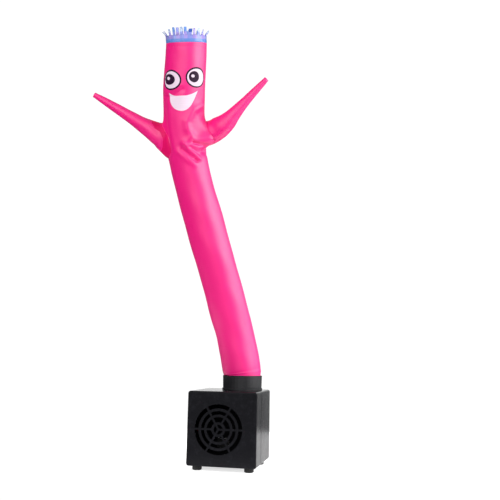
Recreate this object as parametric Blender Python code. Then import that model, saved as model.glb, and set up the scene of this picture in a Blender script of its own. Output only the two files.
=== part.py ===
# Inflatable air dancer on a blower base.
#
# A square hollow base, moulded in two shells, stands on four small feet. A ring on its roof holds the hem of
# a cloth tube, which blown air keeps up. The tube is body and head in one. It leans to its own right and
# forwards, has a tapered sleeve sewn to an armhole on each side, and is open at the top, where a strip of cut
# film stands round the rim as hair.
#
# Sizes and tables are in millimetres and degrees, and MM turns them to metres. X is across, Z is up, and the
# face and the grille look along -Y. Tables place things from the middle of the base, on the floor. "round" is
# the way round the tube: 0 at its front, 90 towards +X, -90 towards -X.

import math
from collections import namedtuple

import bmesh
import bpy
from mathutils import Vector

MM = 0.001
GAP = 0.3  # between touching pieces
BEYOND = 1.0  # how far a cutter runs past what it cuts
SHARP_ANGLE = 35.0  # edges sharper than this stay crisp

# The middle of the whole object's footprint, seen from the middle of the base
FOOTPRINT_X = -44.3
FOOTPRINT_Y = -45.0

# Base
BASE_WIDE = 76.2
BASE_DEEP = 76.2
BASE_TALL = 78.0
BASE_WALL = 2.4
CORNER_ROUND = 2.6  # long edges that run from front to back
FACE_ROUND = 1.5  # edges round the front and the back face
SEAM_FROM_FRONT = 25.6
SEAM_GAP = 0.5
SEAM_CHAMFER = 0.4
FOOT_TALL = 4.7
FOOT_WIDE = 10.4
FOOT_ROUND = 1.2
FOOT_AROUND = 16
FOOT_X = 28.5
FOOT_Y = 27.5

# Grille, moulded in the front face
GRILLE_X = -3.3
GRILLE_UP = 43.5
SPOKE_WIDE = 2.0  # the first spoke points to +X
SlotRing = namedtuple("SlotRing", "inner outer slots")
SLOT_RINGS = [
    SlotRing(inner=1.4, outer=5.0, slots=3),
    SlotRing(inner=7.6, outer=12.9, slots=6),
    SlotRing(inner=15.5, outer=19.1, slots=6),
    SlotRing(inner=21.9, outer=26.2, slots=6),
]

# Power inlet, set in the back face
INLET_X = -16.0
INLET_UP = 21.0
INLET_WIDE = 13.0
INLET_TALL = 9.4
INLET_DEEP = 8.0
INLET_PROUD = 0.6
SOCKET_WIDE = 10.0
SOCKET_TALL = 6.4
SOCKET_DEEP = 6.0

# Ring that holds the tube
COLLAR_X = 10.4
COLLAR_Y = 12.8
COLLAR_INSIDE = 21.1  # radius
COLLAR_OUTSIDE = 22.4  # radius at the top
COLLAR_TAPER = 0.35  # how much smaller the radius is at the bottom
COLLAR_TALL = 15.9
FLANGE_TALL = 2.0
FLANGE_PROUD = 0.8
LIP_ROUND = 0.4
COLLAR_AROUND = 40
OUTLET_RADIUS = 19.0  # air hole in the roof, under the ring
OUTLET_AROUND = 32

# Cloth
CLOTH = 1.0
ARM_AROUND = 16
TUBE_AROUND = 36
ARMS_FROM = 310.0  # the stretch of the tube that the arms are fitted to
ARMS_TO = 412.0
HOLE_ROWS = 5  # rows of an arm that lie near the tube's wall
HOLE_MARGIN = 2.0  # how much smaller an armhole is than the arm's outside
LINE_STEP = 2.0  # how far up and down the tube's line is looked at for its lean

# The tube's middle line and outside width, from the hem to the rim of the head. "tip" turns a ring out of
# square with the line, its right side up.
TubeRow = namedtuple("TubeRow", "up x y wide tip", defaults=(0.0,))
TUBE = [
    TubeRow(up=87.0, x=10.4, y=12.8, wide=41.6),
    TubeRow(up=98.5, x=10.4, y=12.8, wide=41.5),
    TubeRow(up=100.2, x=10.4, y=12.8, wide=41.7),
    TubeRow(up=103.6, x=10.0, y=12.7, wide=43.2),
    TubeRow(up=108.0, x=9.1, y=12.2, wide=44.0),
    TubeRow(up=127.0, x=5.8, y=9.9, wide=44.2),
    TubeRow(up=150.0, x=1.4, y=5.2, wide=43.3),
    TubeRow(up=172.0, x=-4.1, y=-0.6, wide=44.1),
    TubeRow(up=206.0, x=-11.8, y=-10.9, wide=43.8),
    TubeRow(up=250.0, x=-22.5, y=-25.1, wide=44.5),
    TubeRow(up=283.0, x=-30.3, y=-36.1, wide=43.9),
    TubeRow(up=305.0, x=-35.3, y=-43.6, wide=42.8),
    TubeRow(up=326.0, x=-39.6, y=-51.2, wide=43.0),
    TubeRow(up=345.0, x=-41.9, y=-58.2, wide=43.7),
    TubeRow(up=365.0, x=-42.5, y=-65.8, wide=44.5),
    TubeRow(up=388.0, x=-41.7, y=-75.1, wide=45.0),
    TubeRow(up=406.0, x=-40.0, y=-82.4, wide=45.8),
    TubeRow(up=423.0, x=-37.0, y=-89.6, wide=45.5),
    TubeRow(up=441.0, x=-34.0, y=-97.2, wide=44.6, tip=2.5),
    TubeRow(up=452.7, x=-32.3, y=-102.3, wide=43.9, tip=4.5),
]

# How closely the tube's rings follow each other
Stretch = namedtuple("Stretch", "start end rings")
STRETCHES = [
    Stretch(start=87.0, end=98.5, rings=1),
    Stretch(start=98.5, end=100.2, rings=1),
    Stretch(start=100.2, end=103.6, rings=1),
    Stretch(start=103.6, end=108.0, rings=1),
    Stretch(start=108.0, end=320.0, rings=13),
    Stretch(start=320.0, end=400.0, rings=19),
    Stretch(start=400.0, end=452.7, rings=6),
]

# Soft ridges (high above 0) and troughs (below 0) that run straight over the cloth between two places, on a
# tube of this radius
FOLD_RADIUS = 21.6
Fold = namedtuple("Fold", "name up_a round_a up_b round_b wide high")
FOLDS = [
    Fold("left arm's stub", 371.0, -92.0, 352.0, -88.0, 9.0, 2.2),
    Fold("right arm's stub", 365.5, 94.0, 357.0, 86.0, 9.5, 8.2),
    Fold("notch under the right arm", 346.0, 78.0, 345.0, 108.0, 5.0, -4.4),
    Fold("first trough", 357.0, 38.0, 350.5, 84.0, 2.9, -2.2),
    Fold("ridge over it", 362.0, 40.0, 357.0, 72.0, 4.0, 1.0),
    Fold("second trough", 352.0, 24.0, 342.0, 62.0, 2.9, -2.0),
    Fold("ridge between them", 355.0, 20.0, 346.5, 72.0, 2.6, 1.1),
    Fold("long ridge", 354.5, 12.3, 336.4, 50.1, 2.6, 1.3),
    Fold("third trough", 344.5, 6.0, 334.5, 40.0, 3.0, -2.2),
    Fold("lowest ridge", 343.5, -2.3, 328.0, 37.0, 3.2, 1.4),
    Fold("chest fold, upper", 387.0, 60.0, 374.0, 22.0, 3.4, 1.2),
    Fold("chest fold, lower", 374.0, 22.0, 362.5, 29.0, 3.2, 1.2),
    Fold("chest fold, foot", 362.5, 29.0, 355.0, 13.0, 3.0, 0.9),
    Fold("beside the chest fold", 384.0, 44.0, 366.0, 12.0, 4.0, -0.9),
    Fold("under the eye", 404.0, -6.0, 396.0, -42.0, 4.5, -1.1),
    Fold("left arm's pull", 375.0, -64.0, 342.0, -66.0, 2.6, 0.9),
    Fold("beside the pull", 372.0, -54.0, 338.0, -56.0, 3.4, -0.8),
    Fold("behind the right arm, trough", 357.0, 118.0, 344.0, 152.0, 3.4, -1.8),
    Fold("behind the right arm, ridge", 351.0, 112.0, 336.0, 146.0, 3.6, 1.2),
    Fold("behind the left arm, trough", 362.0, -118.0, 346.0, -146.0, 3.4, -1.5),
    Fold("behind the left arm, ridge", 356.0, -112.0, 338.0, -138.0, 3.6, 1.0),
    Fold("nape", 402.0, 150.0, 397.0, 205.0, 4.5, -0.9),
]

# The arms' middle lines, with their outside height and depth, from inside the tube to the open tip
ArmRow = namedtuple("ArmRow", "x y up tall deep")
LEFT_ARM = [
    ArmRow(x=-46.0, y=-64.0, up=356.0, tall=48.0, deep=29.0),
    ArmRow(x=-56.0, y=-65.5, up=359.2, tall=45.0, deep=28.5),
    ArmRow(x=-63.5, y=-67.0, up=361.4, tall=38.5, deep=27.0),
    ArmRow(x=-69.6, y=-70.0, up=363.7, tall=30.6, deep=24.5),
    ArmRow(x=-75.4, y=-73.0, up=366.2, tall=24.4, deep=21.5),
    ArmRow(x=-88.5, y=-78.2, up=373.4, tall=16.9, deep=16.9),
    ArmRow(x=-101.5, y=-82.8, up=381.6, tall=13.3, deep=13.3),
    ArmRow(x=-114.6, y=-87.6, up=389.6, tall=10.9, deep=10.9),
    ArmRow(x=-127.7, y=-92.8, up=397.5, tall=8.4, deep=8.4),
    ArmRow(x=-139.3, y=-97.6, up=404.2, tall=5.6, deep=5.6),
]
RIGHT_ARM = [
    ArmRow(x=-36.0, y=-65.0, up=361.5, tall=29.0, deep=25.0),
    ArmRow(x=-26.0, y=-65.5, up=362.0, tall=28.5, deep=25.5),
    ArmRow(x=-14.2, y=-66.0, up=363.8, tall=27.4, deep=25.5),
    ArmRow(x=-8.4, y=-66.5, up=365.8, tall=26.6, deep=25.0),
    ArmRow(x=-2.6, y=-67.1, up=368.7, tall=25.2, deep=24.0),
    ArmRow(x=3.2, y=-67.7, up=372.3, tall=22.4, deep=21.8),
    ArmRow(x=8.9, y=-68.2, up=377.2, tall=18.6, deep=18.4),
    ArmRow(x=14.5, y=-68.8, up=383.1, tall=15.0, deep=15.0),
    ArmRow(x=25.7, y=-69.3, up=395.1, tall=10.6, deep=10.6),
    ArmRow(x=36.8, y=-69.9, up=406.4, tall=8.3, deep=8.3),
    ArmRow(x=50.4, y=-71.0, up=419.6, tall=5.5, deep=5.5),
]

# Hair: a band round the rim of the head, and its strips. Half the strips are listed, and the other half
# repeats them, turned by half a turn. "out" and "side" are how far a tip leans from straight up.
BAND_TALL = 6.4
FILM = 0.8
BAND_OUTSIDE = 22.0  # radius
STRIP_MIDDLE = 0.95  # a strip's width half way up, as a share of its width at the root
STRIP_TIP = 0.85
Strip = namedtuple("Strip", "round wide long out side")
STRIPS = [
    Strip(round=-64.0, wide=3.2, long=6.1, out=38.0, side=-6.0),
    Strip(round=-53.5, wide=3.2, long=6.6, out=34.0, side=-8.0),
    Strip(round=-42.5, wide=3.0, long=5.6, out=22.0, side=-6.0),
    Strip(round=-31.0, wide=2.6, long=7.2, out=8.0, side=-4.0),
    Strip(round=-18.5, wide=3.2, long=8.8, out=5.0, side=-1.0),
    Strip(round=-6.5, wide=3.4, long=8.6, out=3.0, side=0.0),
    Strip(round=6.0, wide=3.2, long=8.9, out=2.0, side=1.0),
    Strip(round=17.5, wide=3.2, long=8.9, out=3.0, side=-1.0),
    Strip(round=30.0, wide=4.4, long=4.8, out=8.0, side=22.0),
    Strip(round=48.0, wide=2.8, long=7.4, out=4.0, side=-3.0),
    Strip(round=67.0, wide=2.8, long=7.2, out=5.0, side=0.0),
    Strip(round=91.0, wide=2.8, long=6.4, out=8.0, side=0.0),
    Strip(round=104.0, wide=2.6, long=6.2, out=36.0, side=6.0),
]


def make_material(name, colour, roughness):
    """A plain material with the piece's colour."""
    material = bpy.data.materials.new(name)
    material.use_nodes = True
    shader = material.node_tree.nodes["Principled BSDF"]
    shader.inputs["Base Color"].default_value = (*colour, 1.0)
    shader.inputs["Roughness"].default_value = roughness
    return material


def make_object(name, points, faces, material, parent):
    """A closed mesh object from points in millimetres, with its faces turned outwards."""
    mesh = bpy.data.meshes.new(name)
    mesh.from_pydata([Vector(point) * MM for point in points], [], faces)
    shape = bmesh.new()
    shape.from_mesh(mesh)
    bmesh.ops.recalc_face_normals(shape, faces=shape.faces)
    shape.to_mesh(mesh)
    shape.free()
    mesh.shade_smooth()
    mesh.set_sharp_from_angle(angle=math.radians(SHARP_ANGLE))
    mesh.materials.append(material)
    piece = bpy.data.objects.new(name, mesh)
    bpy.context.collection.objects.link(piece)
    piece.parent = parent
    return piece


def loft(loops, joined=False):
    """Points and triangles of a skin over equal loops, with its ends capped, or joined to each other."""
    count = len(loops[0])
    points = [point for loop in loops for point in loop]
    pairs = list(zip(range(len(loops) - 1), range(1, len(loops))))
    if joined:
        pairs.append((len(loops) - 1, 0))
    faces = []
    for low, high in pairs:
        for here in range(count):
            there = (here + 1) % count
            faces.append((low * count + here, low * count + there, high * count + there))
            faces.append((low * count + here, high * count + there, high * count + here))
    if not joined:
        faces.append(tuple(range(count)))
        faces.append(tuple(range((len(loops) - 1) * count, len(loops) * count)))
    return points, faces


def hide_cutter(cutter):
    """Keep a cutter out of the object itself."""
    cutter.hide_render = True
    cutter.display_type = "WIRE"


def cut(piece, cutter):
    """Take the cutter's shape out of a piece."""
    hide_cutter(cutter)
    boolean = piece.modifiers.new("cut_" + cutter.name, "BOOLEAN")
    boolean.operation = "DIFFERENCE"
    boolean.solver = "EXACT"
    boolean.object = cutter


def circle(x, y, up, radius, around):
    """A level circle of points."""
    turns = [math.tau * step / around for step in range(around)]
    return [(x + radius * math.cos(turn), y + radius * math.sin(turn), up) for turn in turns]


def base_outline(y, inset):
    """The base's rounded square outline at one depth, drawn in from the outside by inset."""
    corner_steps = 4
    middle_up = FOOT_TALL + GAP + BASE_TALL / 2
    half_wide = BASE_WIDE / 2 - CORNER_ROUND
    half_tall = BASE_TALL / 2 - CORNER_ROUND
    points = []
    for corner, (side, level) in enumerate([(1, 1), (-1, 1), (-1, -1), (1, -1)]):
        for step in range(corner_steps + 1):
            turn = math.radians(90.0 * (corner + step / corner_steps))
            x = side * half_wide + (CORNER_ROUND - inset) * math.cos(turn)
            up = middle_up + level * half_tall + (CORNER_ROUND - inset) * math.sin(turn)
            points.append((x, y, up))
    return points


def base_shell(name, face_y, seam_y, material, parent):
    """One half of the base: a box that is open at the seam and rounded round its face."""
    inward = 1.0 if seam_y > face_y else -1.0
    loops = []
    for turn in (90.0, 60.0, 30.0, 0.0):
        inset = FACE_ROUND * (1.0 - math.cos(math.radians(turn)))
        depth = FACE_ROUND * (1.0 - math.sin(math.radians(turn)))
        loops.append(base_outline(face_y + inward * depth, inset))
    loops.append(base_outline(seam_y - inward * SEAM_CHAMFER, 0.0))
    loops.append(base_outline(seam_y, SEAM_CHAMFER))
    loops.append(base_outline(seam_y, BASE_WALL))
    loops.append(base_outline(face_y + inward * BASE_WALL, BASE_WALL))
    points, faces = loft(loops)
    return make_object(name, points, faces, material, parent)


def slot_outline(ring, first, y):
    """One slot of the grille between two spokes, with sides that run along the spokes."""
    steps = 6 if ring.inner > 2.0 else 4
    span = 360.0 / ring.slots
    points = []
    for radius, order in ((ring.inner, range(steps + 1)), (ring.outer, range(steps, -1, -1))):
        edge = math.degrees(math.asin(SPOKE_WIDE / 2 / radius))
        for step in order:
            turn = math.radians(first + edge + (span - 2.0 * edge) * step / steps)
            points.append((GRILLE_X + radius * math.cos(turn), y, GRILLE_UP + radius * math.sin(turn)))
    return points


def grille_cutter(parent):
    """Every slot of the grille as one cutter through the front face."""
    front = -BASE_DEEP / 2
    points = []
    faces = []
    for ring in SLOT_RINGS:
        for slot in range(ring.slots):
            first = slot * 360.0 / ring.slots
            depths = (front - BEYOND, front + BASE_WALL + BEYOND)
            outlines = [slot_outline(ring, first, y) for y in depths]
            slot_points, slot_faces = loft(outlines)
            faces.extend(tuple(len(points) + corner for corner in face) for face in slot_faces)
            points.extend(slot_points)
    return make_object("grille_cutter", points, faces, None, parent)


def box_loops(x, up, wide, tall, depths):
    """Rectangles of one size at several depths."""
    corners = [(1, 1), (-1, 1), (-1, -1), (1, -1)]
    return [[(x + wide / 2 * side, y, up + tall / 2 * level) for side, level in corners] for y in depths]


def make_base(parent):
    """Two shells, the power inlet and four feet."""
    plastic = make_material("black_plastic", (0.012, 0.012, 0.013), 0.35)
    inlet_plastic = make_material("inlet_plastic", (0.02, 0.02, 0.021), 0.5)
    rubber = make_material("foot_rubber", (0.01, 0.01, 0.01), 0.7)
    front = -BASE_DEEP / 2
    back = BASE_DEEP / 2
    seam = front + SEAM_FROM_FRONT
    housing_front = base_shell("housing_front", front, seam - SEAM_GAP / 2, plastic, parent)
    housing_back = base_shell("housing_back", back, seam + SEAM_GAP / 2, plastic, parent)
    cut(housing_front, grille_cutter(parent))

    roof = FOOT_TALL + GAP + BASE_TALL
    through_roof = (roof - BASE_WALL - BEYOND, roof + BEYOND)
    outlet = [circle(COLLAR_X, COLLAR_Y, up, OUTLET_RADIUS, OUTLET_AROUND) for up in through_roof]
    cut(housing_back, make_object("outlet_cutter", *loft(outlet), None, parent))
    through_back = (back - BASE_WALL - BEYOND, back + BEYOND)
    hole = box_loops(INLET_X, INLET_UP, INLET_WIDE + 2 * GAP, INLET_TALL + 2 * GAP, through_back)
    cut(housing_back, make_object("inlet_cutter", *loft(hole), None, parent))

    mouth = back + INLET_PROUD
    outside = box_loops(INLET_X, INLET_UP, INLET_WIDE, INLET_TALL, (mouth - INLET_DEEP, mouth))
    socket = box_loops(INLET_X, INLET_UP, SOCKET_WIDE, SOCKET_TALL, (mouth, mouth - SOCKET_DEEP))
    make_object("power_inlet", *loft(outside + socket), inlet_plastic, parent)

    for depth, y in (("front", -FOOT_Y), ("back", FOOT_Y)):
        for side, x in (("left", -FOOT_X), ("right", FOOT_X)):
            loops = []
            for turn in (90.0, 45.0, 0.0):
                radius = FOOT_WIDE / 2 - FOOT_ROUND * (1.0 - math.cos(math.radians(turn)))
                up = FOOT_ROUND * (1.0 - math.sin(math.radians(turn)))
                loops.append(circle(x, y, up, radius, FOOT_AROUND))
            loops.append(circle(x, y, FOOT_TALL, FOOT_WIDE / 2, FOOT_AROUND))
            make_object("foot_" + depth + "_" + side, *loft(loops), rubber, parent)
    return plastic


def make_collar(plastic, parent):
    """The ring on the roof, a little wider at its top, with a flange at its foot."""
    foot = FOOT_TALL + GAP + BASE_TALL + GAP
    top = foot + COLLAR_TALL
    low_radius = COLLAR_OUTSIDE - COLLAR_TAPER
    profile = [
        (COLLAR_INSIDE, foot),
        (low_radius + FLANGE_PROUD, foot),
        (low_radius + FLANGE_PROUD, foot + FLANGE_TALL - LIP_ROUND),
        (low_radius + FLANGE_PROUD / 2, foot + FLANGE_TALL),
        (low_radius, foot + FLANGE_TALL + LIP_ROUND / 2),
        (COLLAR_OUTSIDE, top - LIP_ROUND),
        (COLLAR_OUTSIDE - LIP_ROUND, top),
        (COLLAR_INSIDE, top),
    ]
    loops = [circle(COLLAR_X, COLLAR_Y, up, radius, COLLAR_AROUND) for radius, up in profile]
    make_object("collar", *loft(loops, joined=True), plastic, parent)


def tube_at(up):
    """The tube's row at a height, on a smooth curve through the table's rows."""
    last = len(TUBE) - 2
    here = min(max(sum(row.up <= up for row in TUBE) - 1, 0), last)
    start, end = TUBE[here], TUBE[here + 1]
    before, after = TUBE[max(here - 1, 0)], TUBE[min(here + 2, last + 1)]
    span = end.up - start.up
    way = (up - start.up) / span
    values = []
    for column in ("x", "y", "wide", "tip"):
        a, b = getattr(start, column), getattr(end, column)
        slope_a = (b - getattr(before, column)) / (end.up - before.up) * span
        slope_b = (getattr(after, column) - a) / (after.up - start.up) * span
        bend = 2 * (a - b) + slope_a + slope_b
        values.append(a + way * (slope_a + way * (3 * (b - a) - 2 * slope_a - slope_b + way * bend)))
    return TubeRow(up, *values)


def tube_axes(up):
    """The tube's middle at a height, and the ways to its right side and its front, square to its line."""
    low, high = tube_at(max(up - LINE_STEP, TUBE[0].up)), tube_at(min(up + LINE_STEP, TUBE[-1].up))
    along = Vector((high.x - low.x, high.y - low.y, high.up - low.up)).normalized()
    side = Vector((1.0, 0.0, 0.0))
    side = (side - along * side.dot(along)).normalized()
    row = tube_at(up)
    front = side.cross(along)
    tip = math.radians(row.tip)
    return Vector((row.x, row.y, up)), side * math.cos(tip) + along * math.sin(tip), front


def fold_height(up, turn):
    """How far all folds together lift the cloth at one place."""
    radius = FOLD_RADIUS
    height = 0.0
    for fold in FOLDS:
        start = Vector((fold.up_a, math.radians(fold.round_a) * radius))
        line = Vector((fold.up_b, math.radians(fold.round_b) * radius)) - start
        for lap in (-360.0, 0.0, 360.0):
            place = Vector((up, math.radians(turn + lap) * radius)) - start
            way = min(max(place.dot(line) / line.length_squared, 0.0), 1.0)
            distance = (place - line * way).length
            height += fold.high * math.exp(-((distance / fold.wide) ** 2))
    return height


def tube_ring(up, beyond):
    """One ring of the tube, with its folds, at a distance beyond its outside."""
    middle, side, front = tube_axes(up)
    radius = tube_at(up).wide / 2 + beyond
    ring = []
    for step in range(TUBE_AROUND):
        turn = 360.0 * step / TUBE_AROUND - 180.0
        angle = math.radians(turn)
        reach = radius + fold_height(up, turn)
        ring.append(tuple(middle + (front * math.cos(angle) + side * math.sin(angle)) * reach))
    return ring


def tube_levels():
    """The heights of the tube's rings."""
    levels = [STRETCHES[0].start]
    for stretch in STRETCHES:
        step = (stretch.end - stretch.start) / stretch.rings
        levels.extend(stretch.start + step * (ring + 1) for ring in range(stretch.rings))
    return levels


def arm_rings(rows, beyond):
    """An arm's rings, square to its line, at a distance beyond its outside; one more between two rows."""
    spots = []
    for here, (start, end) in enumerate(zip(rows, rows[1:])):
        before, after = rows[max(here - 1, 0)], rows[min(here + 2, len(rows) - 1)]
        middle = [(9 * (b + c) - a - d) / 16 for a, b, c, d in zip(before, start, end, after)]
        spots.extend([start, ArmRow(*middle)])
    spots.append(rows[-1])
    rings = []
    for here, spot in enumerate(spots):
        low, high = spots[max(here - 1, 0)], spots[min(here + 1, len(spots) - 1)]
        along = Vector((high.x - low.x, high.y - low.y, high.up - low.up)).normalized()
        upwards = Vector((0.0, 0.0, 1.0))
        upwards = (upwards - along * upwards.dot(along)).normalized()
        sideways = along.cross(upwards)
        middle = Vector((spot.x, spot.y, spot.up))
        ring = []
        for step in range(ARM_AROUND):
            angle = math.tau * step / ARM_AROUND
            tall = upwards * math.cos(angle) * (spot.tall / 2 + beyond)
            deep = sideways * math.sin(angle) * (spot.deep / 2 + beyond)
            ring.append(tuple(middle + tall + deep))
        rings.append(ring)
    return rings


def make_cloth(parent):
    """The tube with its armholes, and the two arms that meet it there."""
    cloth = make_material("pink_cloth", (0.95, 0.05, 0.27), 0.5)
    levels = tube_levels()
    outside = [tube_ring(up, 0.0) for up in levels]
    inside = [tube_ring(up, -CLOTH) for up in reversed(levels)]
    tube = make_object("body_tube", *loft(outside + inside, joined=True), cloth, parent)

    near_arms = [up for up in levels if ARMS_FROM < up < ARMS_TO]
    seat = make_object("arm_seat_cutter", *loft([tube_ring(up, GAP) for up in near_arms]), None, parent)
    for name, rows in (("arm_left", LEFT_ARM), ("arm_right", RIGHT_ARM)):
        sleeve = arm_rings(rows, 0.0) + arm_rings(rows, -CLOTH)[::-1]
        arm = make_object(name, *loft(sleeve, joined=True), cloth, parent)
        cut(arm, seat)
        hole = make_object(name + "_hole_cutter", *loft(arm_rings(rows[:HOLE_ROWS], -HOLE_MARGIN)), None, parent)
        cut(tube, hole)


def make_hair(parent):
    """A band round the rim of the head and its strips, in one piece."""
    film = make_material("blue_film", (0.25, 0.35, 0.85), 0.3)
    middle, side, front = tube_axes(TUBE[-1].up)
    upwards = front.cross(side)
    foot = middle + upwards * GAP
    strips = [strip._replace(round=strip.round + half) for half in (0.0, 180.0) for strip in STRIPS]

    def outwards(turn):
        return front * math.cos(math.radians(turn)) + side * math.sin(math.radians(turn))

    points = []
    for strip in strips:
        half_turn = math.degrees(strip.wide / 2 / BAND_OUTSIDE)
        for turn in (strip.round - half_turn, strip.round + half_turn):
            for radius in (BAND_OUTSIDE, BAND_OUTSIDE - FILM):
                points.append(foot + outwards(turn) * radius)
                points.append(foot + outwards(turn) * radius + upwards * BAND_TALL)
    # four points at each turn: outside low, outside high, inside low, inside high
    turns = 2 * len(strips)
    faces = []
    for here in range(turns):
        a, b = 4 * here, 4 * ((here + 1) % turns)
        faces.append((a, b, b + 1, a + 1))
        faces.append((a + 2, a + 3, b + 3, b + 2))
        faces.append((a, a + 2, b + 2, b))
        if here % 2:
            faces.append((a + 1, b + 1, b + 3, a + 3))
    for number, strip in enumerate(strips):
        a = 8 * number
        root = [a + 1, a + 5, a + 7, a + 3]
        out, along = outwards(strip.round), outwards(strip.round + 90.0)
        lean = upwards + out * math.tan(math.radians(strip.out)) + along * math.tan(math.radians(strip.side))
        lower = list(root)
        for way, narrow in ((0.5, STRIP_MIDDLE), (1.0, STRIP_TIP)):
            bend = upwards.lerp(lean.normalized(), 0.5 + 0.5 * way)
            centre = sum((points[corner] for corner in root), Vector()) / 4
            upper = []
            for corner in root:
                upper.append(len(points))
                points.append(centre + (points[corner] - centre) * narrow + bend * strip.long * way)
            for here in range(4):
                there = (here + 1) % 4
                faces.append((lower[here], lower[there], upper[there], upper[here]))
            lower = upper
        faces.append(tuple(lower))
    make_object("hair_fringe", [tuple(point) for point in points], faces, film, parent)


def main():
    """Build the whole object under one empty."""
    for piece in list(bpy.data.objects):
        bpy.data.objects.remove(piece)
    middle = bpy.data.objects.new("air_dancer", None)
    bpy.context.collection.objects.link(middle)
    middle.location = (-FOOTPRINT_X * MM, -FOOTPRINT_Y * MM, 0.0)
    plastic = make_base(middle)
    make_collar(plastic, middle)
    make_cloth(middle)
    make_hair(middle)


main()
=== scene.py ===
from math import atan2, cos, degrees, exp, hypot, inf, pi, radians, sin, tan, tau

import bpy
import numpy as np
from mathutils import Matrix, Vector
from mathutils.kdtree import KDTree


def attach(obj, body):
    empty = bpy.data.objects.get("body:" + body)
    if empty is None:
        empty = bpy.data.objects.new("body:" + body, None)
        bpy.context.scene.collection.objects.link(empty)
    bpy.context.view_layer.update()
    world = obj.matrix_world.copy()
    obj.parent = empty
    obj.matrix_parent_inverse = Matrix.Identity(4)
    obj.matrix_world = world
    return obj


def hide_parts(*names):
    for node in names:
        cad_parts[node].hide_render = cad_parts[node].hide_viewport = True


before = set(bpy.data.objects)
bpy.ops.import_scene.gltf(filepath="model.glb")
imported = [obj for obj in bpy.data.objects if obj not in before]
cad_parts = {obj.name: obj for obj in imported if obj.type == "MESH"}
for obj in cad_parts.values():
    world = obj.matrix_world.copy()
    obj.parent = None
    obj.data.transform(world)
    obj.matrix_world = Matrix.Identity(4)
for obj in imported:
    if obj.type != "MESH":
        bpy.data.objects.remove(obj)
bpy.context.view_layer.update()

# Inflatable air dancer on a blower base.
# Places in the dictionaries are millimetres from the middle of the base, on the floor: X across,
# Z up, the face towards -Y. "round" is degrees round the tube from its front, + towards +X.
mm = 0.001
baseMiddle = Vector((44.3, 45.0, 0.0))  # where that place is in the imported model


def toScene(point):
    return (Vector(point) + baseMiddle) * mm


def linear(hexColour):
    # sRGB hex to the linear values that the shader takes
    values = [int(hexColour[i:i + 2], 16) / 255 for i in (1, 3, 5)]
    return (*(v / 12.92 if v <= 0.04045 else ((v + 0.055) / 1.055) ** 2.4 for v in values), 1.0)


def addNode(tree, kind, settings=None, links=None, out=0):
    # adds a node with its settings and links, and gives back the output that is used
    node = tree.nodes.new("ShaderNode" + kind)
    for name, value in (settings or {}).items():
        if isinstance(name, str) and hasattr(node, name):
            setattr(node, name, value)
        else:
            node.inputs[name].default_value = value
    for name, source in (links or {}).items():
        tree.links.new(source, node.inputs[name])
    return node.outputs[out] if node.outputs else None


def newMaterial(name):
    material = bpy.data.materials.new(name)
    material.use_nodes = True
    material.node_tree.nodes.clear()
    return material, material.node_tree


def finishMaterial(tree, settings, links):
    shader = addNode(tree, "BsdfPrincipled", settings, links)
    addNode(tree, "OutputMaterial", links={"Surface": shader})


def waveScale(pitch):
    # a wave texture repeats every 0.314 / scale metres; the pitch is in millimetres
    return pi / 10 / (pitch * mm)


def noiseScale(size):
    # a noise texture's spots are about 1 / scale metres across; the size is in millimetres
    return 1 / (size * mm)


def addMesh(name, points, faces, materials, places=None, smooth=True):
    # places: for each point, metres across and along the cloth, and the girth of its ring,
    # 0 where nothing closes
    mesh = bpy.data.meshes.new(name)
    mesh.from_pydata([toScene(point) for point in points], [], faces)
    for material in materials:
        mesh.materials.append(material)
    if places is not None:
        layer = mesh.uv_layers.new(name="clothPlace")
        for polygon in mesh.polygons:
            most = max(places[corner][0] for corner in polygon.vertices)
            for loop, corner in zip(polygon.loop_indices, polygon.vertices):
                across, along, girth = places[corner]
                lap = girth if girth and most - across > girth / 2 else 0.0  # where a ring closes
                layer.data[loop].uv = (across + lap, along)
    if smooth:
        mesh.shade_smooth()
    piece = bpy.data.objects.new(name, mesh)
    bpy.context.collection.objects.link(piece)
    return piece


def gridFaces(rows, columns, closed, start=0):
    # quads over rows of points, each row closed into a ring or not
    faces = []
    for row in range(rows - 1):
        for column in range(columns if closed else columns - 1):
            there = (column + 1) % columns
            low, high = start + row * columns, start + (row + 1) * columns
            faces.append((low + column, low + there, high + there, high + column))
    return faces


def smoothStep(t):
    t = min(max(t, 0.0), 1.0)
    return t * t * (3.0 - 2.0 * t)


def smoothBetween(values, way):
    # a smooth curve through a list of equal-length tuples; way runs from 0 to len - 1
    here = min(max(int(way), 0), len(values) - 2)
    t = way - here
    b, c = values[here], values[here + 1]
    a = values[here - 1] if here > 0 else [2 * x - y for x, y in zip(b, c)]
    d = values[here + 2] if here + 2 < len(values) else [2 * y - x for x, y in zip(b, c)]
    return [0.5 * (2 * q + (r - p) * t + (2 * p - 5 * q + 4 * r - s) * t * t
            + (3 * q - p - 3 * r + s) * t ** 3) for p, q, r, s in zip(a, b, c, d)]


def onCloth(turn, radius, along):
    # metres across and along a cloth round a radius, and its girth there
    return (turn * radius * mm, along * mm, tau * radius * mm)


def ringAngles(count):
    return [tau * step / count for step in range(count)]


# Camera: the photo's angle, low and from the right, looking up a little.
camera = {
    "place": (174.65, -705.71, 118.0),
    "yaw": 12.4,  # to the left of straight back
    "pitch": 9.8,
    "roll": 0.99,
    "lens": 45.36,  # for a square picture, 500 by 500
    "sensor": 36.0,
    "sees": (0.01, 20.0),  # from and to, metres
}


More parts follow.
